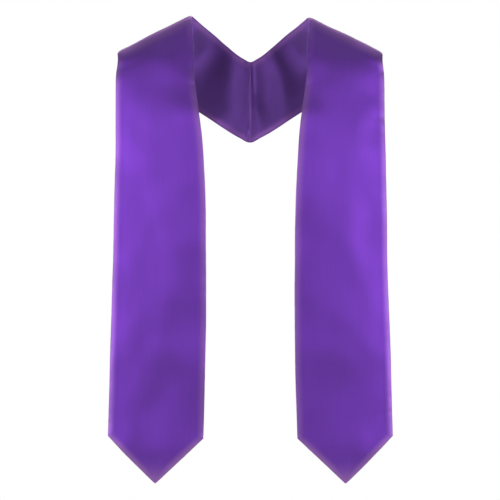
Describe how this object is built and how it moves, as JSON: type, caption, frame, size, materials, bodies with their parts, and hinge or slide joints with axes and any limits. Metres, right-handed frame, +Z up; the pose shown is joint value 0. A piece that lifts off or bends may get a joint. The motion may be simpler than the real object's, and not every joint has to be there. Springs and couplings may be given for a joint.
{
  "type": "choir stole",
  "caption": "Plain satin choir stole with a V at the back and pointed ends, shaped as worn over the shoulders.",
  "frame": {"origin": "the nape: the neck edge at the centre-back seam, where the stole bears on the back of the wearer's neck", "axes": "+Z up along the wearer's body, -Y the way the wearer faces, +X towards the wearer's left"},
  "size_m": [0.4486, 0.1572, 0.7432],
  "materials": {
    "satin_face": "satin",
    "satin_lining": "satin"
  },
  "bodies": {
    "root": {"left_face": "satin_face", "left_lining": "satin_lining", "right_face": "satin_face", "right_lining": "satin_lining"}
  },
  "joints": []
}
